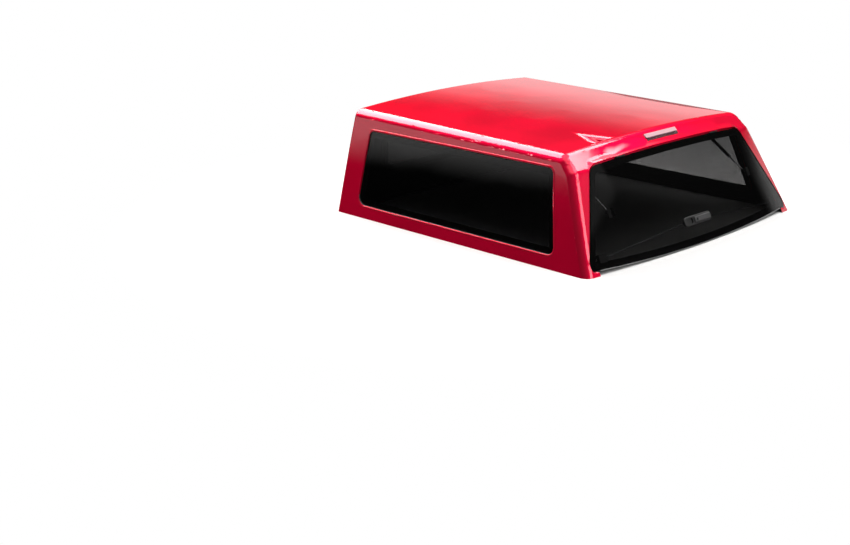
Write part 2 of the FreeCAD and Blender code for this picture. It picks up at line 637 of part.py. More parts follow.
    # Strut foot on the door: bonded pad, ear and stud
    seat = DOOR_GLASS + BOND
    pad = on_glass(box(-22, 26, 0, 40, -24, 24), sx, dz).common(ahead_of_rear(seat).cut(ahead_of_rear(seat + 3)))
    ear_out = [Vector(side_x, dy - 60, dz + 12), Vector(side_x, dy - 6, dz + 12), Vector(side_x, dy + 10, dz + 6),
               Vector(side_x, dy + 10, dz - 8), Vector(side_x, dy - 60, dz - 16)]
    ear = Part.Face(Part.makePolygon(ear_out + ear_out[:1])).extrude(Vector(3, 0, 0))
    ear = ear.common(ahead_of_rear(seat))
    foot = fused(pad, ear)
    for side, turn in (("right", None), ("left", mirrored)):
        for name, shape in (("strut_tube_", tube), ("strut_rod_", rod), ("strut_bracket_", bracket),
                            ("strut_foot_", foot)):
            save(name + side, turn(shape) if turn else shape)

    # Handle on the door's outside: a long dish with a finger pocket, a paddle and the lock in the paddle
    half, tall = HANDLE_HALF, HANDLE_TALL / 2
    base = box(-half, half, -HANDLE_PROUD, 3, -tall, tall)
    base = base.makeFillet(0.8 * tall, [e for e in base.Edges if abs(mid(e).x) > half - 1 and abs(mid(e).z) > tall - 1])
    base = base.makeFillet(3, [e for e in base.Edges if mid(e).y < 0.1 - HANDLE_PROUD])
    paddle_end = half - 9
    paddle_start = paddle_end - PADDLE_LENGTH
    floor = -4.0
    pocket = box(-half + 20, paddle_start - 10, -HANDLE_PROUD - 9, floor, -0.62 * tall, 0.62 * tall)
    pocket = pocket.makeFillet(7, [e for e in pocket.Edges if abs(mid(e).z) > 0.6 * tall and abs(mid(e).y - floor) > 1
                                   and e.Length < HANDLE_PROUD + 7 and e.Length > HANDLE_PROUD])
    high = PADDLE_TALL / 2
    bed = box(paddle_start - 1, paddle_end + 1, -HANDLE_PROUD - 9, floor, -high - 1, high + 1)
    base = base.cut(pocket).cut(bed)
    save("handle_base", on_glass(base, 0, HANDLE_HEIGHT).cut(ahead_of_rear(0)))
    paddle = box(paddle_start, paddle_end, -PADDLE_PROUD, floor, -high, high)
    paddle = paddle.makeFillet(5, [e for e in paddle.Edges if mid(e).y < floor - 1])
    socket = Part.makeCylinder(LOCK_RADIUS, 14, Vector(paddle_start + 19, -PADDLE_PROUD + 6, 0), Vector(0, -1, 0))
    save("handle_grip", on_glass(paddle.cut(socket), 0, HANDLE_HEIGHT))
    lock = Part.makeCylinder(LOCK_RADIUS, 7.5, Vector(paddle_start + 19, -PADDLE_PROUD + 6, 0), Vector(0, -1, 0))
    slot_x = paddle_start + 19
    lock = lock.cut(box(slot_x - 1, slot_x + 1, -PADDLE_PROUD - 5, -PADDLE_PROUD, -4, 4))
    save("lock_cylinder", on_glass(lock, 0, HANDLE_HEIGHT))

    # Mechanism on the inside, with the two rods that work the latches
    gear = box(-45, 45, 0, 26, -22, 22)
    gear = on_glass(gear, 0, HANDLE_HEIGHT).common(ahead_of_rear(DOOR_GLASS))
    save("handle_gearbox", gear)
    for side, sign in (("left", -1), ("right", 1)):
        x = sign * LATCH_X
        case = on_glass(box(-26, 26, 0, 40, -22, 22), x, LATCH_HEIGHT).common(ahead_of_rear(DOOR_GLASS))
        slot = on_glass(box(-60, 60, 22, 60, -5.5, 5.5), x, LATCH_HEIGHT)
        save("latch_" + side, case.cut(slot))
        place = glass_place(x, LATCH_HEIGHT)
        land_x = DOOR_OUTLINE[2][0] - DOOR_LAND_WIDTH
        pin_end = sign * (land_x - LATCH_X + 12)
        pin = Part.makeCylinder(4, abs(pin_end) + 10, Vector(-sign * 10, 31, 0), Vector(sign, 0, 0))
        tab = box(min(pin_end, pin_end + sign * 4), max(pin_end, pin_end + sign * 4), 0, 40, -14, 14)
        keep = ahead_of_rear(DOOR_LAND_DEPTH + WALL + BOND)
        pin.Placement = place.multiply(pin.Placement)
        tab.Placement = place.multiply(tab.Placement)
        pad = on_glass(box(min(pin_end, pin_end + sign * 26), max(pin_end, pin_end + sign * 26), 0, 60, -14, 14), x,
                       LATCH_HEIGHT).common(keep).cut(ahead_of_rear(DOOR_LAND_DEPTH + WALL + BOND + 3))
        save("striker_" + side, fused(pin, tab.common(keep), pad))
        start = glass_place(sign * 44, HANDLE_HEIGHT).multVec(Vector(0, 18, 0))
        end = place.multVec(Vector(-sign * 25, 14, 0))
        run = end - start
        save("latch_rod_" + side, Part.makeCylinder(LATCH_ROD, run.Length, start, run)
             .cut(gear).cut(case))

    # Third brake lamp, seated in the tail
    half, tall = LAMP_HALF - 1, LAMP_TALL / 2 - 1
    flange = box(-half, half, LAMP_SEAT - 2, LAMP_SEAT, -tall, tall)
    tray = box(-half + 11, half - 11, LAMP_SEAT - 1, LAMP_SEAT + 22, -tall + 6, tall - 6)
    inside = box(-half + 13, half - 13, LAMP_SEAT - 3, LAMP_SEAT + 20, -tall + 8, tall - 8)
    save("lamp_housing", lamp_place(fused(flange, tray).cut(inside)))
    lens = box(-half, half, LAMP_SEAT - 8, LAMP_SEAT - 2, -tall, tall)
    lens = lens.makeFillet(2.5, [e for e in lens.Edges if mid(e).y < LAMP_SEAT - 7.9])
    save("lamp_lens", lamp_place(lens))
    board = box(-half + 14, half - 14, LAMP_SEAT + 17, LAMP_SEAT + 20, -7, 7)
    count = 14
    pitch = (2 * half - 44) / (count - 1)
    leds = [Part.makeCylinder(3, 8, Vector(-half + 22 + pitch * i, LAMP_SEAT + 17.5, 0), Vector(0, -1, 0))
            for i in range(count)]
    save("lamp_leds", lamp_place(board.fuse(leds)))

    # Foam under the base rail
    x1 = half_width(0, WALL) - 4
    x0 = x1 - FOAM_WIDTH
    save("foam_right", box(x0, x1, REAR_Y + 130, FRONT_Y - 70, 0, RAIL_LIFT))
    save("foam_left", box(-x1, -x0, REAR_Y + 130, FRONT_Y - 70, 0, RAIL_LIFT))
    save("foam_front", box(-x1 + 30, x1 - 30, FRONT_Y - WALL - 4 - FOAM_WIDTH, FRONT_Y - WALL - 4, 0, RAIL_LIFT))


main()
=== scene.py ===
"""Truck canopy: the looks of a moulded hard cap with tinted windows and a lift-up glass door.

Metres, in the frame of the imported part: +Z up, +Y to the cab, +X to the right-hand side.
"""
import json
import math

import bmesh
import bpy
import numpy as np
from mathutils import Matrix, Vector

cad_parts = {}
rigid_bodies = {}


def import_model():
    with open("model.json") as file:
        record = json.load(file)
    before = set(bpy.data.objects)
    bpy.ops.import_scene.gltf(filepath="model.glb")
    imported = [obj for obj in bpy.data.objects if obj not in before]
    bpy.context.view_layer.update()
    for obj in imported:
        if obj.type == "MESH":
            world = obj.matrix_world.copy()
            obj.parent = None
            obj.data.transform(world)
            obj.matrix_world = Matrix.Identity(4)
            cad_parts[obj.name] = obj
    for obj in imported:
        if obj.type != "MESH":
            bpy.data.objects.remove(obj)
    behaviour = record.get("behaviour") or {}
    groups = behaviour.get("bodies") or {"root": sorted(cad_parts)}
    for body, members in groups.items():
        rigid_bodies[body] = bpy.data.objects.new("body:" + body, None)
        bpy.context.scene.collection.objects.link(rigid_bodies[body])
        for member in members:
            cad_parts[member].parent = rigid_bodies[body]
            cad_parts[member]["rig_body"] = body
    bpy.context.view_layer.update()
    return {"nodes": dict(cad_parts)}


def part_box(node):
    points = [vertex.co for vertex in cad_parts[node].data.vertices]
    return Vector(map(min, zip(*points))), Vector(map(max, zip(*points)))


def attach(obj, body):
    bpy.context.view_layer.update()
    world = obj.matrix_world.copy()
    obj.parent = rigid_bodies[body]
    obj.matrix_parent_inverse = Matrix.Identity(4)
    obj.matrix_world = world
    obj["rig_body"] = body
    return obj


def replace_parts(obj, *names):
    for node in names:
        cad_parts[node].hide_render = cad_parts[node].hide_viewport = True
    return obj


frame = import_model()

# Sizes of the moulded body, the same as in the part's source
LENGTH = 1.927
GASKET_PROUD = 0.003
FRONT_Y = (LENGTH - GASKET_PROUD) / 2
REAR_Y = -(LENGTH + GASKET_PROUD) / 2
BASE_HALF_WIDTH = 0.893
SHOULDER_HALF_WIDTH = 0.738
SHOULDER_HEIGHT = 0.544
SIDE_BULGE = 0.003
ROOF_HEIGHT = 0.603
ROOF_FALL = 0.019
CROWN_RADIUS = 9.4
SHOULDER_RADIUS = 0.062
REAR_CORNER_RADIUS = 0.050
TAIL_BEND_RADIUS = 0.054
LEAN = math.radians(25.9)
BOW_RADIUS = 8.4
TAIL = math.radians(43.6)
CREASE_Y = REAR_Y + 0.3375
CREASE_Z = 0.573

# Depths below the outer skin
DOOR_GLASS = 0.005
DOOR_LAND = 0.0145
SIDE_DEPTH = 0.005
SIDE_GLASS = 0.004

# Printed border behind the glass: its two widths, the edge left bare, its gap to the pane and its thickness
DOOR_BORDER = 0.034
SIDE_BORDER = 0.030
BARE_EDGE = 0.001
BORDER_OFF = 0.0006
BORDER_FILM = 0.0003

# The weatherstrip lies this far inside the door's edge, and stops where the pillars' foot begins
SEAL_INSIDE = 0.024
SEAL_FOOT = 0.7995

# The foam strips are rounded off over this length
FOAM_END = 0.004


# Outer skin: its sharpest edge in degrees, the longest edge on a roll and the passes that split it, how well
# a face's slope and place must match the true surface, and the rear corners: beyond x, behind y and above z
SKIN_ANGLE = 52.0
SKIN_STEP = 0.010
SKIN_PASSES = 9
SKIN_MATCH = 0.93
SKIN_NEAR = 0.0016
CORNER_X, CORNER_Y, CORNER_Z = 0.48, -0.53, 0.36

# Which faces of the shell are painted: a spine inside it to look from, depths of the painted skin and rim,
# the height and the y beyond which all outer faces are painted, and how nearly edge-on a rim's face is seen
SPINE_FROM, SPINE_TO, SPINE_Z = -0.55, 0.7, 0.25
SKIN_DEPTH = 0.02
SIDE_RIM = 0.0135
PAINTED_Z, PAINTED_Y = 0.45, 0.9
EDGE_ON = 0.12

# Outlines as (across, height, corner radius): the door's whole edge, and the side window seen from the right
DOOR_HALF = ((0.8375, 0.0285, 0.025), (0.8375, 0.062, 0.070), (0.630, 0.4825, 0.065))
DOOR_OUTLINE = ((0.0, -0.0055, 17.0), *DOOR_HALF, (0.0, 0.5185, 9.4),
                *((-across, height, radius) for across, height, radius in reversed(DOOR_HALF)))
SIDE_OUTLINE = ((0.791, 0.073, 0.055), (0.791, 0.471, 0.025),
                (-0.5735, 0.471, 0.030), (-0.6795, 0.073, 0.028))


# Shader maths

class Value:
    """A shader socket. Sums on it add Math nodes to the same material."""

    def __init__(self, shader, socket):
        self.shader, self.socket = shader, socket

    def sum(self, operation, first, second):
        return self.shader.maths(operation, first, second)

    def __add__(self, other):
        return self.sum("ADD", self, other)

    def __radd__(self, other):
        return self.sum("ADD", other, self)

    def __sub__(self, other):
        return self.sum("SUBTRACT", self, other)

    def __rsub__(self, other):
        return self.sum("SUBTRACT", other, self)

    def __mul__(self, other):
        return self.sum("MULTIPLY", self, other)

    def __rmul__(self, other):
        return self.sum("MULTIPLY", other, self)

    def __truediv__(self, other):
        return self.sum("DIVIDE", self, other)

    def __rtruediv__(self, other):
        return self.sum("DIVIDE", other, self)


class Shader:
    """The nodes of one material, or of the world."""

    def __init__(self, owner):
        self.owner = owner if not isinstance(owner, str) else bpy.data.materials.new(owner)
        self.owner.use_nodes = True
        self.tree = self.owner.node_tree
        self.tree.nodes.clear()

    def node(self, kind, settings=None, inputs=None, output=0):
        """Add a node: its settings first, then its sockets' values or links. None if it has no output."""
        made = self.tree.nodes.new("ShaderNode" + kind)
        for name, value in (settings or {}).items():
            setattr(made, name, value)
        for name, value in (inputs or {}).items():
            named = [s for s in made.inputs if s.identifier == name]
            socket = named[0] if named else made.inputs[name]
            if isinstance(value, Value):
                self.tree.links.new(value.socket, socket)
            else:
                socket.default_value = value
        if not made.outputs:
            return None
        found = [s for s in made.outputs if s.identifier == output]
        return Value(self, found[0] if found else made.outputs[output])

    def place(self):
        return self.node("TexCoord", None, None, "Object")

    def noise(self, scale, detail=3.0, rough=0.5):
        inputs = {"Scale": scale, "Detail": detail, "Roughness": rough, "Vector": self.place()}
        return self.node("TexNoise", None, inputs, "Fac")

    def cells(self, scale, output="Distance"):
        return self.node("TexVoronoi", None, {"Scale": scale, "Vector": self.place()}, output)

    def between(self, share, first, second):
        """A colour from first to second as share goes from 0 to 1."""
        inputs = {"Factor_Float": share, "A_Color": first, "B_Color": second}
        return self.node("Mix", {"data_type": "RGBA"}, inputs, "Result_Color")

    def eased(self, value, low, high, to_low=0.0, to_high=1.0):
        """From to_low to to_high in a soft S as the value goes from low to high."""
        inputs = {"Value": value, "From Min": low, "From Max": high, "To Min": to_low, "To Max": to_high}
        return self.node("MapRange", {"interpolation_type": "SMOOTHSTEP"}, inputs)

    def maths(self, operation, *values):
        return self.node("Math", {"operation": operation}, dict(enumerate(values)))

    def part_of(self, vector, part, kind="XYZ"):
        """One of the three parts of a vector, or of a colour where the kind is Color."""
        return self.node("Separate" + kind, None, {"Color" if kind == "Color" else "Vector": vector}, part)

    def bump(self, height, strength, distance, normal=None):
        inputs = {"Height": height, "Strength": strength, "Distance": distance}
        if normal is not None:
            inputs["Normal"] = normal
        return self.node("Bump", None, inputs)

    def surface(self, colour, **sockets):
        """End the material in one Principled shader. Names of sockets are written with _ for a space."""
        inputs = {"Base Color": colour}
        inputs.update({name.replace("_", " "): value for name, value in sockets.items()})
        shader = self.node("BsdfPrincipled", None, inputs)
        self.node("OutputMaterial", None, {"Surface": shader})
        return self.owner


def rgb(red, green, blue):
    return (red, green, blue, 1.0)


def grey(shade, blue=1.0):
    """A grey whose blue is a multiple of its red and green."""
    return (shade, shade, blue * shade, 1.0)


# Materials

def ruby_paint():
    """Deep red base with fine metal flake under clear coat, and the faintest orange peel in the coat."""
    s = Shader("ruby_paint")
    flake = s.cells(1900.0, output="Color")
    spark = s.part_of(flake, "Red", "Color")
    cloud = s.noise(2.5, 2.0)
    tone = s.between(s.eased(cloud, 0.35, 0.65), rgb(0.90, 0.0010, 0.048), rgb(0.96, 0.0014, 0.054))
    colour = s.between(s.eased(spark, 0.8, 1.0, 0.0, 0.35), tone, rgb(0.95, 0.02, 0.06))
    flat = s.bump(spark, 0.04, 0.0002)
    peel = s.bump(s.noise(160.0, 1.0), 0.010, 0.0006, flat)
    return s.surface(colour, Metallic=0.72, Roughness=s.eased(cloud, 0.3, 0.7, 0.38, 0.43), IOR=1.5,
                     Specular_IOR_Level=0.0, Specular_Tint=rgb(0.9, 0.02, 0.06), Coat_Weight=1.0,
                     Coat_Roughness=0.015, Normal=peel)


def gel_coat():
    """Inside of the moulding: dark grey spatter finish over the glass mat, which shows as soft strands."""
    s = Shader("gel_coat")
    speck = s.cells(420.0)
    mat = s.noise(60.0, 6.0, 0.7)
    colour = s.between(s.eased(speck, 0.12, 0.3), rgb(0.30, 0.30, 0.31), rgb(0.055, 0.055, 0.058))
    return s.surface(colour, Roughness=s.eased(mat, 0.3, 0.7, 0.5, 0.75), Normal=s.bump(mat, 0.35, 0.0012))


def tinted_glass(name, alpha):
    """Dark privacy glass: smooth, with faint dust that dulls it in patches. It throws a solid shadow."""
    s = Shader(name)
    dust = s.noise(9.0, 5.0, 0.65)
    glass = s.surface(s.between(dust, rgb(0.0006, 0.0006, 0.0007), rgb(0.0016, 0.0015, 0.0016)),
                      Roughness=s.eased(dust, 0.45, 0.8, 0.004, 0.02), IOR=1.5, Alpha=alpha)
    glass.use_transparent_shadow = False
    return glass


def frit():
    """Fired black border on the glass's inner face."""
    s = Shader("frit")
    grain = s.noise(900.0, 2.0)
    return s.surface(rgb(0.008, 0.008, 0.009), Roughness=s.eased(grain, 0.3, 0.7, 0.35, 0.5))


def rubber():
    """Matt weatherstrip: greyish bloom, fine skin."""
    s = Shader("weather_rubber")
    shade = 0.018
    bloom = s.noise(35.0, 4.0, 0.6)
    skin = s.noise(700.0, 2.0)
    colour = s.between(s.eased(bloom, 0.35, 0.8), grey(shade), grey(1.9 * shade))
    return s.surface(colour, Roughness=s.eased(bloom, 0.3, 0.7, 0.62, 0.82),
                     Normal=s.bump(skin, 0.15, 0.0003))


def moulded_plastic(name, shade=0.02, grain=520.0):
    """Black moulded plastic with leather-like grain."""
    s = Shader(name)
    pits = s.cells(grain)
    wear = s.noise(22.0, 4.0)
    colour = s.between(s.eased(wear, 0.45, 0.8), grey(shade), grey(1.5 * shade, 1.6 / 1.5))
    return s.surface(colour, Roughness=s.eased(wear, 0.3, 0.7, 0.38, 0.52),
                     Normal=s.bump(pits, 0.25, 0.00025))


def felt():
    """Grey needled headliner felt."""
    s = Shader("felt")
    fibre = s.noise(900.0, 6.0, 0.75)
    patch = s.noise(14.0, 3.0)
    blotch = s.eased(0.7 * fibre + 0.3 * patch, 0.35, 0.65)
    return s.surface(s.between(blotch, rgb(0.12, 0.12, 0.125), rgb(0.22, 0.22, 0.225)), Roughness=0.95,
                     Sheen_Weight=0.3, Normal=s.bump(fibre, 0.6, 0.0008))


def plated_steel():
    """Zinc-plated steel: soft blue-grey spangle and fine rolling marks."""
    s = Shader("plated_steel")
    spangle = s.cells(160.0, output="Color")
    tone = s.part_of(spangle, "Red", "Color")
    rolling = s.bump(s.noise(240.0, 3.0), 0.05, 0.0004)
    return s.surface(s.between(tone, rgb(0.42, 0.43, 0.44), rgb(0.56, 0.57, 0.58)), Metallic=1.0,
                     Roughness=s.eased(tone, 0.0, 1.0, 0.28, 0.42), Normal=rolling)


def coated_steel():
    """Black powder-coated steel with fine orange peel."""
    s = Shader("coated_steel")
    peel = s.noise(420.0, 2.0)
    rub = s.noise(18.0, 4.0)
    return s.surface(s.between(s.eased(rub, 0.5, 0.85), rgb(0.014, 0.014, 0.015), rgb(0.03, 0.03, 0.031)),
                     Roughness=s.eased(rub, 0.3, 0.7, 0.3, 0.45), Normal=s.bump(peel, 0.18, 0.0004))


def polished(name, shade, rough):
    """Bright metal with hair-fine turning marks."""
    s = Shader(name)
    marks = s.noise(380.0, 2.0)
    return s.surface(s.between(marks, grey(shade), grey(0.92 * shade, 0.94 / 0.92)), Metallic=1.0,
                     Roughness=s.eased(marks, 0.3, 0.7, rough, rough + 0.08))


def lamp_plastic():
    """Cover of the brake lamp: upright ribs, pale pink above as a painted highlight, and clear over the row of
    lights.
    """
    s = Shader("lamp_plastic")
    low, high = (corner[2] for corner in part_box("lamp_lens"))
    across, height = s.part_of(s.place(), "X"), s.part_of(s.place(), "Z")
    # Mask of the upper half: it carries the painted highlight, and the cover is less clear there
    up = s.eased((height - low) / (high - low), 0.44, 0.56)
    ribs = s.maths("SINE", across * 1800.0)
    # Painted highlight: pale pink that stands in for light from above on the cover's upper half
    painted_highlight_pink = s.between(s.noise(420.0, 2.0), rgb(0.86, 0.50, 0.55), rgb(0.95, 0.62, 0.66))
    colour = s.between(up, rgb(0.30, 0.10, 0.12), painted_highlight_pink)
    return s.surface(colour, Roughness=0.10, IOR=1.49, Alpha=s.eased(up, 0.0, 1.0, 0.22, 0.94),
                     Coat_Weight=0.6, Normal=s.bump(ribs, 0.35, 0.0005))


def dome_plastic():
    """Frosted cover of the dome lamp with a ring of prisms."""
    s = Shader("dome_plastic")
    prisms = s.bump(s.cells(260.0), 0.4, 0.0006)
    return s.surface(rgb(0.80, 0.80, 0.78), Roughness=0.25, IOR=1.49, Alpha=0.85, Normal=prisms)


def closed_foam():
    """Closed-cell foam strip: matt, pitted."""
    s = Shader("closed_foam")
    pits = s.cells(650.0)
    return s.surface(s.between(s.eased(pits, 0.1, 0.5), rgb(0.016, 0.016, 0.017), rgb(0.04, 0.04, 0.042)),
                     Roughness=0.9, Normal=s.bump(pits, 0.6, 0.0006))


# Surfaces of the body, as places for the pieces

def side_circle():
    """Centre and radius of the arc that a side makes from its foot to the shoulder, with its bulge."""
    dx = BASE_HALF_WIDTH - SHOULDER_HALF_WIDTH
    chord = math.hypot(dx, SHOULDER_HEIGHT)
    radius = (chord / 2) ** 2 / (2 * SIDE_BULGE) + SIDE_BULGE / 2
    reach = radius - SIDE_BULGE
    cx = (BASE_HALF_WIDTH + SHOULDER_HALF_WIDTH) / 2 - SHOULDER_HEIGHT / chord * reach
    cz = SHOULDER_HEIGHT / 2 - dx / chord * reach
    return cx, cz, radius


def half_width(z):
    """How far a side stands from the middle at a height, on the side's arc."""
    cx, cz, radius = side_circle()
    return cx + np.sqrt(radius ** 2 - (z - cz) ** 2)


def rear_y(x, z):
    """The rear face's y: a cone, whose bow round x shrinks with height by the tangent of its lean."""
    radius = BOW_RADIUS - math.tan(LEAN) * z
    return REAR_Y + BOW_RADIUS - np.sqrt(radius ** 2 - x ** 2)


def on_rear(x, z, depth):
    """Points on the rear face at (x, z), then depth inwards along its normal."""
    turn = np.arcsin(x / (BOW_RADIUS - math.tan(LEAN) * z))
    inward = np.stack([-np.sin(turn) * math.cos(LEAN), np.cos(turn) * math.cos(LEAN),
                       np.full_like(turn, -math.sin(LEAN))], -1)
    return np.stack([x, rear_y(x, z), z], -1) + inward * depth[..., None]


def on_side(y, z, depth, side):
    """Points on a side at (y, z), then depth inwards to the arc's centre. side: 1 is right, -1 is left."""
    cx, cz, radius = side_circle()
    x = half_width(z)
    angle = np.arctan2(z - cz, x - cx)
    reach = radius - depth
    return np.stack([side * (cx + reach * np.cos(angle)), y, cz + reach * np.sin(angle)], -1)


SIDES = (("left", lambda y, z, depth: on_side(y, z, depth, -1)),
         ("right", lambda y, z, depth: on_side(y, z, depth, 1)))


def outline(corners, per_corner=16):
    """A closed line round a polygon with rounded corners, and its outward normals.

    Each corner is an arc that touches both sides. Arcs that would overlap share the side between them."""
    p = np.array(corners, float)
    place, radius = p[:, :2], p[:, 2]
    before, after = np.roll(place, 1, 0) - place, np.roll(place, -1, 0) - place
    lb, la = np.linalg.norm(before, axis=1), np.linalg.norm(after, axis=1)
    ub, ua = before / lb[:, None], after / la[:, None]
    half = np.arccos(np.clip((ub * ua).sum(1), -1, 1)) / 2
    cut = radius / np.tan(half)
    share = np.minimum(1, 0.96 * np.minimum(la / (cut + np.roll(cut, -1)), lb / (cut + np.roll(cut, 1))))
    cut = cut * share
    size = cut * np.tan(half)
    middle = (ub + ua) / np.linalg.norm(ub + ua, axis=1)[:, None]
    centre = place + middle * (size / np.sin(half))[:, None]
    start, end = place + ub * cut[:, None] - centre, place + ua * cut[:, None] - centre
    a0 = np.arctan2(start[:, 1], start[:, 0])
    turn = np.arctan2(end[:, 1], end[:, 0]) - a0
    turn = (turn + np.pi) % (2 * np.pi) - np.pi
    angle = a0[:, None] + turn[:, None] * np.linspace(0, 1, per_corner)[None]
    normal = np.stack([np.cos(angle), np.sin(angle)], -1)
    points = centre[:, None] + normal * size[:, None, None]
    return points.reshape(-1, 2), normal.reshape(-1, 2)


def finer(points, normals, step):
    """The same closed line with extra points on its long runs, evenly by length."""
    closed = np.vstack([points, points[:1]])
    gap = np.linalg.norm(np.diff(closed, axis=0), axis=1)
    reach = np.concatenate([[0], np.cumsum(gap)])
    extra = np.arange(0, reach[-1], step)
    at = np.unique(np.round(np.concatenate([reach[:-1], extra]), 6))
    turned = np.vstack([normals, normals[:1]])
    new = np.stack([np.interp(at, reach, closed[:, i]) for i in (0, 1)], -1)
    out = np.stack([np.interp(at, reach, turned[:, i]) for i in (0, 1)], -1)
    return new, out / np.linalg.norm(out, axis=1)[:, None]


# Meshes

def mesh_piece(name, vertices, faces, body, material):
    """Put computed points and faces into a smooth-shaded piece that rides on a body."""
    data = bpy.data.meshes.new(name)
    data.from_pydata(np.asarray(vertices).reshape(-1, 3).tolist(), [], faces)
    data.validate()
    piece = bpy.data.objects.new(name, data)
    bpy.context.scene.collection.objects.link(piece)
    data.polygons.foreach_set("use_smooth", np.ones(len(data.polygons), bool))
    data.materials.append(material)
    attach(piece, body)
    return piece


def grid_faces(rows, columns, wrap_rows, wrap_columns):
    """Quads between neighbouring points of a grid, and across its seams where it closes."""
    r = np.arange(rows if wrap_rows else rows - 1)
    c = np.arange(columns if wrap_columns else columns - 1)
    i, j = np.meshgrid(r, c, indexing="ij")
    k, m = (i + 1) % rows, (j + 1) % columns
    quads = np.stack([i * columns + j, i * columns + m, k * columns + m, k * columns + j], -1)
    return quads.reshape(-1, 4).tolist()


def end_faces(rows, columns):
    """The first and the last row of a grid, each as one face."""
    return [list(range(columns)), list(range((rows - 1) * columns, rows * columns))]


def outwards(piece, degrees):
    """Merge doubles, turn the faces outwards and mark the edges sharper than the angle."""
    work = bmesh.new()
    work.from_mesh(piece.data)
    bmesh.ops.remove_doubles(work, verts=work.verts, dist=1e-6)
    bmesh.ops.recalc_face_normals(work, faces=work.faces)
    mark_sharp(work, degrees)
    work.to_mesh(piece.data)
    work.free()
    return piece


def strip(name, line, profile, placed, body, material, closed=True, angle=35.0):
    """A profile of (out, depth) points carried along a line: out along its normal, depth into the face."""
    points, normals = line
    out, depth = np.array(profile).T
    flat = points[:, None] + normals[:, None] * out[None, :, None]
    xyz = placed(flat[..., 0], flat[..., 1], np.broadcast_to(depth, flat.shape[:2]))
    rows, columns = xyz.shape[:2]
    faces = grid_faces(rows, columns, closed, True)
    if not closed:
        faces += end_faces(rows, columns)
    return outwards(mesh_piece(name, xyz, faces, body, material), angle)


def mark_sharp(work, degrees):
    """Mark edges sharper than the angle, so that smooth shading stops there."""
    for edge in work.edges:
        edge.smooth = not (len(edge.link_faces) == 2 and edge.calc_face_angle(0.0) > math.radians(degrees))


def smooth_copy(node, name, material, degrees=30.0):
    """A merged, smooth-shaded copy of a CAD node, which it replaces."""
    source = frame["nodes"][node]
    data = source.data.copy()
    piece = bpy.data.objects.new(name, data)
    bpy.context.scene.collection.objects.link(piece)
    work = bmesh.new()
    work.from_mesh(data)
    bmesh.ops.remove_doubles(work, verts=work.verts, dist=2e-6)
    bmesh.ops.dissolve_degenerate(work, edges=work.edges, dist=1e-6)
    for face in work.faces:
        face.smooth = True
    mark_sharp(work, degrees)
    work.to_mesh(data)
    work.free()
    if "custom_normal" in data.attributes:
        data.attributes.remove(data.attributes["custom_normal"])
    data.materials.clear()
    data.materials.append(material)
    piece.modifiers.new("shade", "WEIGHTED_NORMAL").keep_sharp = True
    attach(piece, source["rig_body"])
    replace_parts(piece, node)
    return piece


# The moulded body

def moulded_body(paint, inside):
    """The shell: painted outside, in the recesses and on the door's rim, and spattered gel coat inside."""
    piece = smooth_copy("shell", "moulded_body", paint, SKIN_ANGLE)
    data = piece.data
    data.materials.append(inside)
    count = len(data.polygons)
    centre, normal = np.zeros(3 * count), np.zeros(3 * count)
    data.polygons.foreach_get("center", centre)
    data.polygons.foreach_get("normal", normal)
    centre, normal = centre.reshape(-1, 3), normal.reshape(-1, 3)
    x, y, z = centre.T
    side_depth = half_width(z) - np.abs(x)
    rear_depth = (y - rear_y(x, z)) * math.cos(LEAN)
    from_spine = centre - np.stack([0 * x, np.clip(y, SPINE_FROM, SPINE_TO), np.full_like(z, SPINE_Z)], -1)
    outward = (from_spine * normal).sum(1)
    rear_rim = (rear_depth < DOOR_LAND + 0.001) & (rear_depth > -0.01)
    rim = (side_depth < SIDE_RIM) | rear_rim | (y > FRONT_Y - 0.001)
    skin = (side_depth < SKIN_DEPTH) | (rear_depth < SKIN_DEPTH) | (z > PAINTED_Z) | (y > PAINTED_Y)
    edge_on = np.abs(outward) < EDGE_ON * np.linalg.norm(from_spine, axis=1)
    painted = np.where(edge_on, rim, (outward > 0.0) & skin)
    data.polygons.foreach_set("material_index", np.where(painted, 0, 1).astype(np.int32))
    refine_skin(piece)
    return piece


def tag_skin(work):
    """Tag the painted faces that run on smoothly from the top of the roof."""
    for face in work.faces:
        face.tag = False
    seed = max(work.faces, key=lambda f: f.calc_center_median().z)
    seed.tag = True
    waiting = [seed]
    while waiting:
        for edge in waiting.pop().edges:
            if len(edge.link_faces) == 2 and edge.calc_face_angle(0.0) < math.radians(SKIN_ANGLE):
                for face in edge.link_faces:
                    if not face.tag and face.material_index == 0:
                        face.tag = True
                        waiting.append(face)


def blend(first, second, radius):
    """Round the edge between two surfaces by an arc of the radius.

    Each surface is distances and outward normals. Both are moved in by the radius, the arm goes from the line
    where they then meet to the point, and the arc is where the arm is as long as the radius. The arm holds w1
    parts of the first normal and w2 of the second. Where either is negative, the outer one counts alone."""
    (d1, n1), (d2, n2) = first, second
    cosine = (n1 * n2).sum(-1)
    w1, w2 = d1 + radius - cosine * (d2 + radius), d2 + radius - cosine * (d1 + radius)
    arm = (w1[:, None] * n1 + w2[:, None] * n2) / np.maximum(1 - cosine ** 2, 1e-6)[:, None]
    reach = np.linalg.norm(arm, axis=1)
    rolled = (w1 > 0) & (w2 > 0)
    distance = np.where(rolled, reach - radius, np.maximum(d1, d2))
    flat = np.where((d1 > d2)[:, None], n1, n2)
    normal = np.where(rolled[:, None], arm / np.maximum(reach, 1e-9)[:, None], flat)
    return (distance, normal), rolled


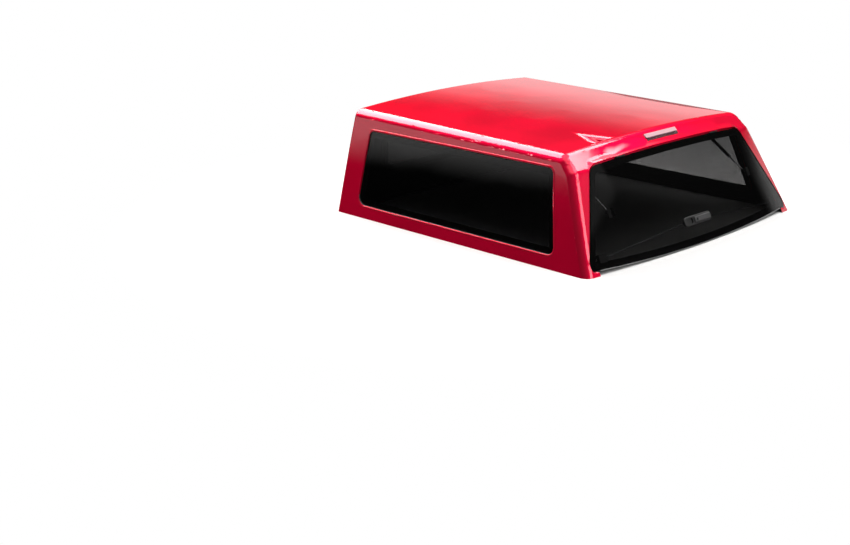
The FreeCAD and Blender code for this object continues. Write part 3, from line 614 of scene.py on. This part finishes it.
def skin_field(points):
    """Distance from the body's outer skin, its outward normal, and whether the skin is rolled there.

    The sides are arcs, the roof an arc that falls evenly to the rear, and the rear and tail band are cones round
    the bow. Their edges are rounded: side to roof, rear to tail, and then these two to each other."""
    x, y, z = np.asarray(points, float).T
    cx, cz, radius = side_circle()
    across, up = np.abs(x) - cx, z - cz
    reach = np.hypot(across, up)
    side = reach - radius, np.stack([np.sign(x) * across / reach, 0 * x, up / reach], -1)
    up = z - (ROOF_HEIGHT - ROOF_FALL * (FRONT_Y - y) - CROWN_RADIUS)
    reach = np.hypot(x, up)
    roof = reach - CROWN_RADIUS, np.stack([x / reach, -ROOF_FALL * up / reach, up / reach], -1)
    reach = np.hypot(x, REAR_Y + BOW_RADIUS - y)
    back = REAR_Y + BOW_RADIUS - reach
    bow = np.stack([x / reach, (y - REAR_Y - BOW_RADIUS) / reach, 0 * x], -1)
    upright = np.array([0.0, 0.0, 1.0])
    tail = (math.sin(TAIL) * (CREASE_Y - back) + math.cos(TAIL) * (z - CREASE_Z),
            math.sin(TAIL) * bow + math.cos(TAIL) * upright)
    rear = (math.cos(LEAN) * (REAR_Y - back) + math.sin(LEAN) * z,
            math.cos(LEAN) * bow + math.sin(LEAN) * upright)
    hull, shoulder = blend(side, roof, SHOULDER_RADIUS)
    end, bend = blend(rear, tail, TAIL_BEND_RADIUS)
    (distance, normal), corner = blend(hull, end, REAR_CORNER_RADIUS)
    behind = end[0] > hull[0]
    return distance, normal, corner | (shoulder & ~behind) | (bend & behind)


def refine_skin(piece):
    """Split the rolled parts of the outer skin into small faces, with each new point on the true surface."""
    work = bmesh.new()
    work.from_mesh(piece.data)
    for _ in range(SKIN_PASSES):
        tag_skin(work)
        edges = [e for e in work.edges if e.calc_length() > SKIN_STEP and any(f.tag for f in e.link_faces)]
        middles = np.array([(e.verts[0].co + e.verts[1].co) / 2 for e in edges])
        x, y, z = middles.T
        at_corner = (np.abs(x) > CORNER_X) & (y < CORNER_Y) & (z > CORNER_Z)
        lengths = np.array([e.calc_length() for e in edges])
        wanted = skin_field(middles)[2] | (at_corner & (lengths > 2 * SKIN_STEP))
        long = [edge for edge, yes in zip(edges, wanted) if yes]
        if not long:
            break
        bmesh.ops.subdivide_edges(work, edges=long, cuts=1)
        bmesh.ops.triangulate(work, faces=[f for f in work.faces if len(f.verts) > 3])
    tag_skin(work)
    faces = [f for f in work.faces if f.tag]
    distance, normal, rolled = skin_field([f.calc_center_median() for f in faces])
    slope = (np.array([f.normal for f in faces]) * normal).sum(-1)
    for face, keep in zip(faces, rolled & (slope > SKIN_MATCH) & (np.abs(distance) < SKIN_NEAR)):
        face.tag = bool(keep)
    for face in work.faces:
        face.tag = face.tag and face.material_index == 0
    points = [v for v in work.verts if v.link_faces and any(f.tag for f in v.link_faces)]
    place = np.array([v.co for v in points])
    for _ in range(3):
        distance, normal = skin_field(place)[:2]
        place = place - np.where(np.abs(distance) < SKIN_NEAR, distance, 0.0)[:, None] * normal
    for vertex, spot in zip(points, place.tolist()):
        vertex.co = spot
    mark_sharp(work, SKIN_ANGLE)
    work.to_mesh(piece.data)
    work.free()
    piece.data.validate()
    piece.data.polygons.foreach_set("use_smooth", np.ones(len(piece.data.polygons), bool))


# Glass and its borders

def windows(door_glass, side_glass, front_glass, border):
    """The four panes and their printed borders."""
    smooth_copy("door_glass", "door_pane", door_glass)
    smooth_copy("front_glass", "front_pane", front_glass)
    profile = border_profile(SIDE_DEPTH + SIDE_GLASS, SIDE_BORDER)
    for side, placed in SIDES:
        smooth_copy("side_glass_" + side, "side_pane_" + side, side_glass)
        strip("side_border_" + side, finer(*outline(SIDE_OUTLINE), 0.05), profile, placed, "frame", border)
    profile = border_profile(DOOR_GLASS, DOOR_BORDER)
    strip("door_border", finer(*outline(DOOR_OUTLINE), 0.04), profile, on_rear, "rear_door", border)


def border_profile(inner_face, width):
    """A flat film behind the glass's inner face, from near the pane's edge to the width."""
    near, far = inner_face + BORDER_OFF, inner_face + BORDER_OFF + BORDER_FILM
    return [(-BARE_EDGE, near), (-width, near), (-width, far), (-BARE_EDGE, far)]


# Seals

def side_seals(material):
    """Rubber round each side window: a rolled lip in the gap and a flat bed under the glass."""
    lip = [(0.0039, 0.0118), (0.0039, 0.0068), (0.0034, 0.0058), (0.0022, 0.0054), (0.0010, 0.0058),
           (0.0004, 0.0068), (0.0004, 0.0092)]
    bed = [(-0.0178, 0.0092), (-0.0178, 0.0118)]
    for side, placed in SIDES:
        piece = strip("side_rubber_" + side, finer(*outline(SIDE_OUTLINE), 0.05), lip + bed, placed, "frame",
                      material, angle=50)
        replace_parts(piece, "side_seal_" + side)


def window_beads(paint):
    """A low rolled bead of the moulding round each side window: half an ellipse on a sunk foot."""
    turn = np.linspace(0.0, math.pi, 9)
    roll = np.stack([0.0098 - 0.0050 * np.cos(turn), 0.0003 - 0.0016 * np.sin(turn)], -1)
    profile = np.vstack([roll, [(0.0140, 0.0012), (0.0056, 0.0012)]])
    for side, placed in SIDES:
        strip("window_bead_" + side, finer(*outline(SIDE_OUTLINE), 0.03), profile, placed, "frame", paint,
              angle=60)


def door_bulb(material):
    """The door's weatherstrip: a round bulb on a flat base, up a pillar, across the top and down again."""
    points, normals = finer(*outline(DOOR_OUTLINE), 0.03)
    start = np.argmin(np.abs(points[:, 0]) + 10 * (points[:, 1] > 0.2))
    points, normals = np.roll(points, -start, 0), np.roll(normals, -start, 0)
    inner = points - normals * SEAL_INSIDE
    keep = (np.abs(inner[:, 0]) > SEAL_FOOT) | (inner[:, 1] > DOOR_OUTLINE[2][1])
    turn = np.linspace(0, 2 * np.pi, 14, endpoint=False)
    bulb = np.stack([-0.0243 + 0.0040 * np.cos(turn), 0.0092 + 0.0040 * np.sin(turn)], -1)
    base = np.array([(-0.0283, 0.0125), (-0.0283, 0.0143), (-0.0203, 0.0143), (-0.0203, 0.0125)])
    profile = np.vstack([bulb[7:], bulb[:1], base[::-1]])
    piece = strip("door_weatherstrip", (points[keep], normals[keep]), profile, on_rear, "frame", material,
                  closed=False, angle=50)
    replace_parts(piece, "door_seal")


def foam_strips(material):
    """Foam under the rail: a superellipse, nearly a rectangle, carried along its box, with round ends."""
    turn = np.linspace(0, 2 * np.pi, 32, endpoint=False)
    wide = np.sign(np.cos(turn)) * np.abs(np.cos(turn)) ** 0.25
    high = np.sign(np.sin(turn)) * np.abs(np.sin(turn)) ** 0.5
    for node in ("foam_left", "foam_right", "foam_front"):
        lowest, highest = (np.array(c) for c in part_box(node))
        middle, half = (lowest + highest) / 2, (highest - lowest) / 2
        along = 0 if node == "foam_front" else 1
        across = 1 - along
        steps = np.linspace(lowest[along], highest[along], 40)
        to_end = half[along] - np.abs(steps - middle[along])
        full = np.sqrt(np.clip(to_end / FOAM_END, 0.05, 1.0))[:, None]
        xyz = np.zeros((len(steps), len(turn), 3))
        xyz[..., along] = steps[:, None]
        xyz[..., across] = middle[across] + half[across] * wide * (0.97 + 0.03 * full)
        xyz[..., 2] = middle[2] + half[2] * high * full
        faces = grid_faces(len(steps), len(turn), False, True) + end_faces(len(steps), len(turn))
        piece = mesh_piece(node.replace("foam", "foam_strip"), xyz, faces, "frame", material)
        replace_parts(outwards(piece, 60), node)


# Everything that keeps its CAD shape

def fittings(finishes):
    """Each row is a node, its finish and its slot. The later rows are there on the left and on the right."""
    single = (("headliner", "felt", "felt"), ("front_gasket", "rubber", "rubber"),
              ("dome_base", "plastic", "black_plastic"), ("dome_lens", "dome", "clear_lens"),
              ("door_trim", "trim", "trim_metal"), ("handle_base", "plastic", "black_plastic"),
              ("handle_grip", "grip", "black_plastic"), ("lock_cylinder", "chrome", "chrome"),
              ("handle_gearbox", "coated", "black_metal"), ("lamp_housing", "plastic", "black_plastic"),
              ("lamp_lens", "lamp", "lamp_lens"), ("lamp_leds", "plastic", "black_plastic"))
    for node, finish, slot in single:
        smooth_copy(node, node + "_part", finishes[finish])
    both = (("hinge_leaf", "coated", "steel"), ("hinge_pin", "steel", "steel"),
            ("hinge_knuckle", "coated", "steel"), ("strut_tube", "coated", "black_metal"),
            ("strut_rod", "chrome", "rod_chrome"), ("strut_bracket", "steel", "steel"),
            ("strut_foot", "coated", "steel"), ("latch", "coated", "black_metal"),
            ("striker", "steel", "steel"), ("latch_rod", "steel", "steel"))
    for stem, finish, slot in both:
        for side in ("left", "right"):
            node = stem + "_" + side
            smooth_copy(node, node + "_part", finishes[finish])


# Studio

# Light from overhead and from near the ground, each as (height from, to, radiance from, to), in degrees
SKY_TOP = (46.0, 62.0, 0.0, 1.35)
SKY_GROUND = (5.0, 30.0, 0.01, 0.07)

# Soft boxes as ((azimuth from, to, height from, to), softness, radiance), in degrees
SKY_BOXES = (((-27, 36, 27.5, 52), 1.6, 10.0),
             ((20, 102, -2, 11.5), 5.0, 0.85),
             ((102, 113.5, 2, 13), 1.5, 1.5),
             ((50, 72, 36, 48), 3.0, 1.8),
             ((143, 200, 22.8, 38), 1.6, 5.0),
             ((133.5, 142, 20.9, 23.2), 0.3, 0.25),
             ((60, 116, 43.2, 56), 1.2, 9.0),
             ((110, 175, 50, 78), 5.0, 3.0))


# Low slanted band on the left: its slope, the azimuth it turns about, its radiance, and the heights and
# azimuths over which it fades in or out
BAND_SLOPE = 0.28
BAND_MIDDLE = -41.0
BAND_LIGHT = 1.35
BAND_FOOT = (7.9, 10.8)
BAND_TOP = (15.0, 12.8)
BAND_RIGHT = (-25.0, -30.0)
BAND_LEFT = (-66.0, -60.0)

# The floor: half its width, its tones in the light and as the camera sees it, and where it fades into white
FLOOR_REACH = 40
FLOOR_TONES = (0.12, 0.13)
FLOOR_SEEN = 0.86
FLOOR_FADE = (1.2, 2.6)


def soft_box(s, azimuth, height, span, soft, strength):
    """Radiance of one soft rectangle in the sky: span is (azimuth from, to, height from, to)."""
    left, right, low, high = span
    across = s.eased(azimuth, left - soft, left + soft) * s.eased(azimuth, right + soft, right - soft)
    upright = s.eased(height, low - soft, low + soft) * s.eased(height, high + soft, high - soft)
    return across * upright * strength


def slanted_band(s, azimuth, height):
    """Radiance of the low band, whose foot falls as the azimuth grows."""
    over_foot = height + BAND_SLOPE * (azimuth - BAND_MIDDLE)
    upright = s.eased(over_foot, *BAND_FOOT, 0.0, BAND_LIGHT) * s.eased(height, *BAND_TOP)
    return upright * s.eased(azimuth, *BAND_RIGHT) * s.eased(azimuth, *BAND_LEFT)


def sky():
    """Light round the object: azimuth is 0 towards +Y and 90 towards +X. The camera sees white."""
    s = Shader(bpy.data.worlds.new("sky"))
    bpy.context.scene.world = s.owner
    direction = s.node("TexCoord", None, None, "Generated")
    x, y, z = (s.part_of(direction, axis) for axis in "XYZ")
    azimuth = s.maths("ARCTAN2", x, y) * math.degrees(1.0)
    height = s.maths("ARCSINE", z) * math.degrees(1.0)
    total = s.eased(height, *SKY_TOP) + s.eased(height, *SKY_GROUND) + slanted_band(s, azimuth, height)
    for span, soft, strength in SKY_BOXES:
        total = total + soft_box(s, azimuth, height, span, soft, strength)
    ray = s.node("LightPath", None, None, "Is Camera Ray")
    light = s.node("Background", None, {"Color": rgb(1.0, 0.99, 0.98), "Strength": total})
    white = s.node("Background", None, {"Color": rgb(1.0, 1.0, 1.0), "Strength": 1.0})
    s.node("OutputWorld", None, {"Surface": s.node("MixShader", None, {0: ray, 1: light, 2: white})})


def pale_floor():
    """A pale floor. The camera sees it white, darker only where the object shades it."""
    data = bpy.data.meshes.new("floor")
    corners = [(FLOOR_REACH * x, FLOOR_REACH * y, 0) for x, y in ((-1, -1), (1, -1), (1, 1), (-1, 1))]
    data.from_pydata(corners, [], [(0, 1, 2, 3)])
    floor = bpy.data.objects.new("floor", data)
    bpy.context.scene.collection.objects.link(floor)
    s = Shader("floor_white")
    seen = s.node("LightPath", None, None, "Is Camera Ray")
    dark, pale = (grey(tone) for tone in FLOOR_TONES)
    colour = s.between(seen, s.between(s.noise(3.0, 2.0), dark, pale), grey(FLOOR_SEEN))
    sockets = {"Base Color": colour, "Roughness": 0.9, "Specular IOR Level": 0.0}
    matt = s.node("BsdfPrincipled", None, sockets)
    glow = s.node("Emission", None, {"Color": rgb(1.0, 1.0, 1.0), "Strength": 1.0})
    away = s.node("VectorMath", {"operation": "LENGTH"}, {0: s.place()}, "Value")
    share = s.eased(away, *FLOOR_FADE) * seen
    s.node("OutputMaterial", None, {"Surface": s.node("MixShader", None, {0: share, 1: matt, 2: glow})})
    data.materials.append(s.owner)


# The photograph's viewpoint: where it is, its two directions, and its lens and film in millimetres
EYE = (-5.620, -4.826, 2.009)
EYE_RIGHT = (0.72588, -0.68758, -0.01829)
EYE_AHEAD = (0.65069, 0.69508, -0.30574)
LENS = 56.33
FILM = 36.0


def camera():
    """A camera at the photograph's viewpoint, its three axes made square to each other."""
    data = bpy.data.cameras.new("camera")
    data.lens = LENS
    data.sensor_width = FILM
    data.clip_end = 200
    eye = bpy.data.objects.new("camera", data)
    bpy.context.scene.collection.objects.link(eye)
    right = Vector(EYE_RIGHT).normalized()
    ahead = Vector(EYE_AHEAD).normalized()
    up = right.cross(ahead).normalized()
    right = ahead.cross(up).normalized()
    turn = Matrix((right, up, -ahead)).transposed()
    eye.matrix_world = Matrix.Translation(EYE) @ turn.to_4x4()
    bpy.context.scene.camera = eye


def dress():
    """Put every visible piece on, in its finish."""
    finishes = {"felt": felt(), "rubber": rubber(), "plastic": moulded_plastic("dish_plastic"),
                "dome": dome_plastic(), "trim": polished("trim_metal", 0.70, 0.30),
                "grip": moulded_plastic("grip_plastic", 0.05, 700.0), "coated": coated_steel(),
                "chrome": polished("chrome", 0.80, 0.06), "steel": plated_steel(), "lamp": lamp_plastic()}
    paint = ruby_paint()
    moulded_body(paint, gel_coat())
    window_beads(paint)
    windows(tinted_glass("door_tint", 0.55), tinted_glass("side_tint", 0.50),
            tinted_glass("front_tint", 0.88), frit())
    side_seals(finishes["rubber"])
    door_bulb(finishes["rubber"])
    foam_strips(closed_foam())
    fittings(finishes)


bpy.context.scene.view_settings.view_transform = "Standard"
sky()
pale_floor()
camera()
dress()
